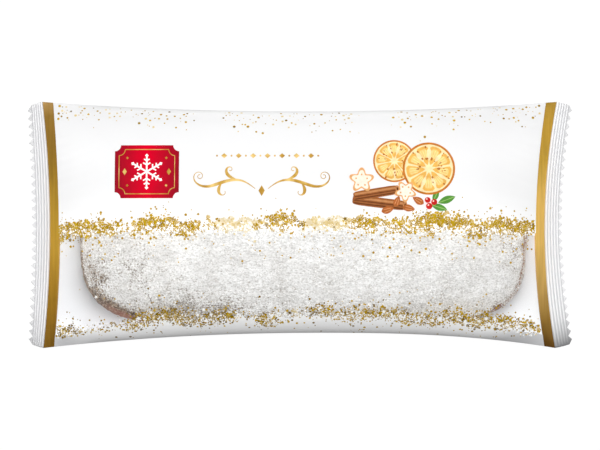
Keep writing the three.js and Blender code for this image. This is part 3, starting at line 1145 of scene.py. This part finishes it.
class Artwork:
    """Shapes printed in layers on the film: one piece for each ink."""

    def __init__(self):
        self.plates = {}

    def put(self, tone, plan, faces, layer):
        points, every = self.plates.setdefault(tone, ([], []))
        every += renumbered(faces, sum(len(p) for p in points))
        points.append(on_film(plan[:, 0], plan[:, 1], LAYER_BASE + LAYER_LIFT * layer))

    def fill(self, tone, outline, layer):
        """A closed outline, anticlockwise, all of which can be seen from its middle."""
        middle = outline.mean(axis=0)
        count = len(outline)
        rings = max(1, math.ceil(np.abs(outline - middle).max() / RING_STEP))
        plan = [middle[None]] + [middle + (outline - middle) * k / rings for k in range(1, rings + 1)]
        faces = [(0, 1 + i, 1 + (i + 1) % count) for i in range(count)]
        for k in range(rings - 1):
            a, b = 1 + k * count, 1 + (k + 1) * count
            faces += [(a + i, b + i, b + (i + 1) % count, a + (i + 1) % count) for i in range(count)]
        self.put(tone, np.concatenate(plan), faces, layer)

    def stroke(self, tone, path, width, layer):
        """A line along a path, of one width or as wide at each point as width says."""
        ahead = np.gradient(path, axis=0)
        ahead /= np.linalg.norm(ahead, axis=1)[:, None]
        side = np.stack([-ahead[:, 1], ahead[:, 0]], axis=1) * np.reshape(width, (-1, 1)) / 2
        plan = np.stack([path - side, path + side], axis=1).reshape(-1, 2)
        self.put(tone, plan, [(2 * i, 2 * i + 2, 2 * i + 3, 2 * i + 1) for i in range(len(path) - 1)], layer)

    def make(self, inks):
        for tone, (points, faces) in self.plates.items():
            add_print(f"print_{tone}", np.concatenate(points), faces, inks[tone])


def oval(x, y, half_length, half_width, turn=0.0, count=40):
    ring = polar(np.arange(count) * math.tau / count, 1.0)
    return turned(ring * np.array([half_length, half_width]), turn, (x, y))


def disc(x, y, radius, count):
    return oval(x, y, radius, radius, count=count)


def diamond(x, y, half_width, half_height):
    return oval(x, y, half_width, half_height, count=4)


def straight(start, end, step=STROKE_STEP):
    start, end = np.array(start), np.array(end)
    count = max(2, math.ceil(np.linalg.norm(end - start) / step))
    return mix(start, end, np.linspace(0, 1, count + 1)[:, None])


def notched_rectangle(x, y, half_width, half_height, notch):
    """A plaque whose corners are cut by quarter circles, their middles on its corners."""
    outline = []
    quarter_turn = math.pi / 2 * np.linspace(0, 1, 9)
    for quarter, (side_x, side_y) in enumerate(((1, 1), (-1, 1), (-1, -1), (1, -1))):
        corner = np.array([x + side_x * half_width, y + side_y * half_height])
        outline.append(corner + polar(math.pi * (1.5 + quarter / 2) - quarter_turn, notch))
    corners = np.concatenate(outline)
    sides = [straight(a, b, RING_STEP)[:-1] for a, b in zip(corners, np.roll(corners, -1, axis=0))]
    return np.concatenate(sides)


def draw_plaque(art):
    """A red plaque with a thin gold frame, gold studs and a snow crystal."""
    x, y, notch = PLAQUE.x, PLAQUE.y, PLAQUE.notch
    art.fill("red", notched_rectangle(x, y, PLAQUE.half_width, PLAQUE.half_height, notch), 0)
    inner = (PLAQUE.half_width - PLAQUE.frame, PLAQUE.half_height - PLAQUE.frame)
    frame_line = notched_rectangle(x, y, *inner, notch)
    art.stroke("gold", np.concatenate([frame_line, frame_line[:2]]), PLAQUE.line, 1)
    out, half_width, half_height = PLAQUE.side_stud
    corner_x, corner_y, half = PLAQUE.corner_stud
    for side_x in (-1, 1):
        art.fill("gold", diamond(x + side_x * out, y, half_width, half_height), 1)
        for side_y in (-1, 1):
            art.fill("gold", diamond(x + side_x * corner_x, y + side_y * corner_y, half, half), 1)
    draw_crystal(art, x, y)


def draw_crystal(art, x, y):
    radius, stroke = CRYSTAL.radius, CRYSTAL.stroke
    for arm in range(6):
        turn = math.pi / 6 + arm * math.pi / 3
        lines = [((0.0, 0.0), (radius, 0.0), stroke)]
        for share, length in CRYSTAL.branches:
            for side in (-1, 1):
                tip = (radius * (share + length * 0.5), side * radius * length * 0.87)
                lines.append(((radius * share, 0.0), tip, stroke * 0.8))
        for start, end, width in lines:
            art.stroke("white", turned(straight(start, end), turn, (x, y)), width, 2)
        art.fill("white", turned(diamond(radius, 0.0, 1.1, 1.1), turn, (x, y)), 2)


def vine(start, heading, bends):
    """A path whose bend per mm changes evenly along each of its stretches."""
    place, angle = np.array(start), math.radians(heading)
    path = [place]
    for length, first, last in bends:
        count = round(length / VINE_STEP)
        for k in range(count):
            angle += mix(first, last, k / count) * VINE_STEP
            place = place + VINE_STEP * np.array([math.cos(angle), math.sin(angle)])
            path.append(place)
    return np.array(path)


def draw_flourish(art):
    """Gold scrolls, mirrored about a diamond, under a row of diamonds and beads."""
    middle = np.array([FLOURISH.x, FLOURISH.y])
    for start, heading, bends in FLOURISH_VINES:
        path = vine(start, heading, bends) * FLOURISH.scale
        share = np.linspace(0, 1, len(path))
        widths = FLOURISH.hair + FLOURISH.stroke * np.sin(math.pi * np.minimum(share * 1.25, 1)) ** 1.5
        for side in (-1, 1):
            art.stroke("gold", path * np.array([side, 1]) + middle, widths * side, 0)
    art.fill("gold", diamond(*(middle + np.array([0.0, -2.2])), 1.9, 3.2), 0)
    for k in range(BEAD_ROW.count):
        x = BEAD_ROW.x + (k - (BEAD_ROW.count - 1) / 2) * BEAD_ROW.pitch
        art.fill("gold", diamond(x, BEAD_ROW.y, 1.8, 1.5) if k % 2 else disc(x, BEAD_ROW.y, 0.6, 10), 0)


def draw_slice(art, x, y, radius, turn, layer):
    """A dried orange slice: rind, pith, segments with a paler heart, and browned flecks."""
    art.fill("rind", disc(x, y, radius, 56), layer)
    art.fill("pith", disc(x, y, radius * 0.92, 56), layer + 1)
    half = math.pi / SEGMENTS
    arc = np.linspace(-1, 1, 7)
    for k in range(SEGMENTS):
        segment_turn = turn + 2 * half * k
        for tone, inner, outer, gap, step in SEGMENT_INKS:
            rim = polar(arc * (half - gap), outer - 0.06 * arc**6)
            tip = polar((half - gap) * np.array([1, 0, -1]), inner + 0.12 * np.array([1, 0, 1]))
            art.fill(tone, turned(np.concatenate([rim, tip]) * radius, segment_turn, (x, y)), layer + step)
        for side in (-0.4, 0.0, 0.4):
            line = turned(straight((radius * 0.42, 0.0), (radius * 0.72, 0.0)), side * half)
            art.stroke("streak", turned(line, segment_turn, (x, y)), 0.28, layer + 4)
    rng = np.random.default_rng(round(radius * 10))
    for _ in range(FLECKS.count):
        angle, share = rng.uniform(0, math.tau), rng.uniform(0.35, 0.88)
        size = mix(*FLECKS.radius, rng.random() ** 2)
        spot = polar(angle, share * radius) + np.array([x, y])
        art.fill("fleck", oval(*spot, size, size * 0.7, angle, 8), layer + 4)


def draw_stick(art, x, y, length, half_width, turn, layer):
    """A cinnamon stick with a lit side, dark seams and a curled end."""
    capsule = disc(0.0, 0.0, 1.0, 40)
    capsule = np.sign(capsule) * np.abs(capsule) ** 0.35 * np.array([length / 2, half_width])
    art.fill("bark", turned(capsule, turn, (x, y)), layer)
    for tone, offset, width in BARK_LINES:
        shift = offset * half_width
        path = turned(straight((-length * 0.47, shift), (length * 0.44, shift)), turn, (x, y))
        art.stroke(tone, path, width * half_width, layer + 1)
    end = turned((length * 0.48, 0.0), turn, (x, y))
    art.fill("bark_light", oval(*end, half_width * 0.42, half_width * 0.9, turn, 20), layer + 2)
    art.fill("bark_dark", oval(*end, half_width * 0.2, half_width * 0.5, turn, 16), layer + 3)


def draw_biscuit(art, x, y, radius, turn, layer):
    """A star biscuit with icing and beads of dough."""
    angles = np.arange(60) * math.tau / 60
    star = polar(angles, radius * (0.8 + 0.2 * np.cos(5 * angles)))
    art.fill("biscuit", turned(star, turn, (x, y)), layer)
    art.fill("icing", turned(star * 0.8, turn, (x, y)), layer + 1)
    for bead in turned(polar(np.arange(5) * math.tau / 5, radius * 0.45), turn, (x, y)):
        art.fill("biscuit", disc(*bead, 0.55, 8), layer + 2)


def pointed(length, width, blunt=1.0):
    """The outline of a leaf or an almond that lies along x, its point at the far end."""
    t = np.linspace(0, 1, 16)
    side = width * np.sin(math.pi * t**blunt) ** 0.85
    upper = np.stack([t * length - length / 2, side], axis=1)
    return np.concatenate([upper * np.array([1, -1]), upper[-2:0:-1]])


def draw_leaf(art, x, y, length, turn, layer):
    art.fill("leaf", turned(pointed(length, length * 0.2), turn, (x, y)), layer)
    rib = straight((-length * 0.48, 0.0), (length * 0.44, 0.0))
    art.stroke("leaf_light", turned(rib, turn, (x, y)), 0.45, layer + 1)


def draw_almond(art, x, y, half, turn, layer):
    art.fill("almond", turned(pointed(2 * half, half * 0.56, 0.8), turn, (x, y)), layer)
    for offset in (-0.25, 0.2):
        groove = straight((-half * 0.6, offset * half), (half * 0.5, offset * half * 0.6))
        art.stroke("almond_light", turned(groove, turn, (x, y)), 0.4, layer + 1)


def draw_berry(art, x, y, radius, layer):
    art.fill("berry", disc(x, y, radius, 20), layer)
    art.fill("icing", disc(x - 0.5, y + 0.6, radius * 0.25, 8), layer + 1)


def draw_fruit(art):
    """Leaves, orange slices, cinnamon sticks, star biscuits, almonds and berries, from below up."""
    kinds = (  # how it is drawn, where, lowest layer, layers from each to the next
        (draw_leaf, LEAVES, 0, 0),
        (draw_slice, SLICES, 2, 5),
        (draw_stick, STICKS, 12, 4),
        (draw_biscuit, BISCUITS, 20, 0),
        (draw_almond, ALMONDS, 23, 0),
        (draw_berry, BERRIES, 23, 0),
    )
    for draw, places, layer, step in kinds:
        for index, place in enumerate(places):
            draw(art, *place, layer + step * index)


def add_artwork(inks):
    art = Artwork()
    draw_plaque(art)
    draw_flourish(art)
    draw_fruit(art)
    art.make(inks)


def glitter_inks():
    return {
        "gold": foil_ink("gold_print", (158, 124, 12), (180, 146, 22), (202, 168, 42)),
        "dark": foil_ink("dark_gold_print", (100, 79, 14), (131, 104, 22), (160, 130, 38)),
        "pale": foil_ink("pale_gold_print", (204, 182, 124), (214, 194, 140), (226, 210, 166)),
        "faint": foil_ink("faint_gold_print", (214, 200, 166), (222, 210, 182), (236, 228, 210)),
        "white": ink("white_print", 252, 252, 250, contrast=0.02),
    }


def artwork_inks(white):
    inks = {tone: ink(f"print_{tone}", *colour) for tone, colour in COLOURS.items()}
    red = plaque_red(PLAQUE.x - PLAQUE.half_width, PLAQUE.x + PLAQUE.half_width)
    gold = foil_ink("flourish_gold", (164, 122, 42), (190, 150, 66), (230, 198, 124), size=9.0)
    return {**inks, "red": red, "gold": gold, "white": white}


# ---------------------------------------------------------------- stage, light and camera

CAMERA_LENS = 135.0
SENSOR = 36.0
MM_PER_PIXEL = 0.607
IMAGE_WIDTH = 600
VIEW_HEIGHT = 18.0  # the height above the base at which a pixel is MM_PER_PIXEL
FLOOR_REACH = 3.0  # in metres, as the lights' places and sizes are
FLOOR_GLOW = Spec(strength=1.12, share=0.88)
WORLD_STRENGTH = 0.2
LIGHT_AIM = (0.0, 0.0, 0.02)
LIGHTS = (  # name, place, size, power
    ("key", (0.0, 0.3, 1.5), (3.6, 0.5), 27.5),
    ("left_fill", (-1.5, 0.0, 0.6), (1.6, 0.8), 8.5),
    ("right_fill", (1.5, 0.0, 0.6), (1.6, 0.8), 7.0),
    ("back_fill", (0.0, 1.4, 0.5), (2.0, 0.6), 9.0),
)


def add_camera():
    data = bpy.data.cameras.new("camera")
    data.lens, data.sensor_width = CAMERA_LENS, SENSOR
    camera = add_object("camera", data)
    distance = IMAGE_WIDTH * MM_PER_PIXEL * CAMERA_LENS / SENSOR
    camera.location = Vector((0.0, 0.0, VIEW_HEIGHT + distance)) * MM
    bpy.context.scene.camera = camera


def add_floor():
    """A pale table. Only the camera sees its white glow, which leaves no more than a trace of the shadow."""
    m = Nodes("floor", srgb(150, 150, 150), 0.6, specular=0.2)
    glow = m.add("ShaderNodeEmission", {"Strength": FLOOR_GLOW.strength})
    seen = m.add("ShaderNodeLightPath", {}).outputs["Is Camera Ray"]
    share = m.span(seen, 0.0, 1.0, 0.0, FLOOR_GLOW.share)
    both = m.add("ShaderNodeMixShader", {0: share, 1: m.shader.outputs[0], 2: glow.outputs[0]})
    m.put(m.tree.nodes["Material Output"], "Surface", both.outputs[0])
    mesh = bpy.data.meshes.new("floor")
    corners = [(x * FLOOR_REACH, y * FLOOR_REACH, 0) for x, y in ((-1, -1), (1, -1), (1, 1), (-1, 1))]
    mesh.from_pydata(corners, [], [(0, 1, 2, 3)])
    mesh.materials.append(m.material)
    add_object("floor", mesh)


def add_lights():
    world = bpy.data.worlds.new("studio")
    world.use_nodes = True
    background = world.node_tree.nodes["Background"].inputs
    background["Color"].default_value = (1.0, 1.0, 1.0, 1.0)
    background["Strength"].default_value = WORLD_STRENGTH
    bpy.context.scene.world = world
    for name, place, size, power in LIGHTS:
        data = bpy.data.lights.new(name, "AREA")
        data.shape, data.energy = "RECTANGLE", power
        data.size, data.size_y = size
        light = add_object(name, data)
        light.location = place
        light.rotation_euler = (Vector(LIGHT_AIM) - Vector(place)).to_track_quat("-Z", "Y").to_euler()
    bpy.context.scene.view_settings.view_transform = "Standard"


# ---------------------------------------------------------------- all together


def add_film():
    add_front(white_film("white_film", 252, 252, 252), clear_film())
    # The back film is a brighter, bluer copy of the white film: painted light that lifts the loaf's shadow on
    # it and cancels the warm light thrown on it.
    add_back(white_film("back_film", 248, 251, 255))
    add_gold_band("left", gold_band_print("gold_left", GOLD_LEFT))
    add_gold_band("right", gold_band_print("gold_right", GOLD_RIGHT))
    # One crimped film: the groove colours are painted shade, and the left fin's greyer colours are painted
    # shade as well.
    add_fin("left", crimped_film("crimped_left", (196, 196, 198), (245, 245, 246)))
    add_fin("right", crimped_film("crimped_right", (202, 202, 204), (251, 251, 252)))
    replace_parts(bpy.data.objects["film_front_far"], NODE)


add_film()
add_loaf()
inks = glitter_inks()
add_glitter(inks)
add_artwork(artwork_inks(inks["white"]))
add_floor()
add_lights()
add_camera()
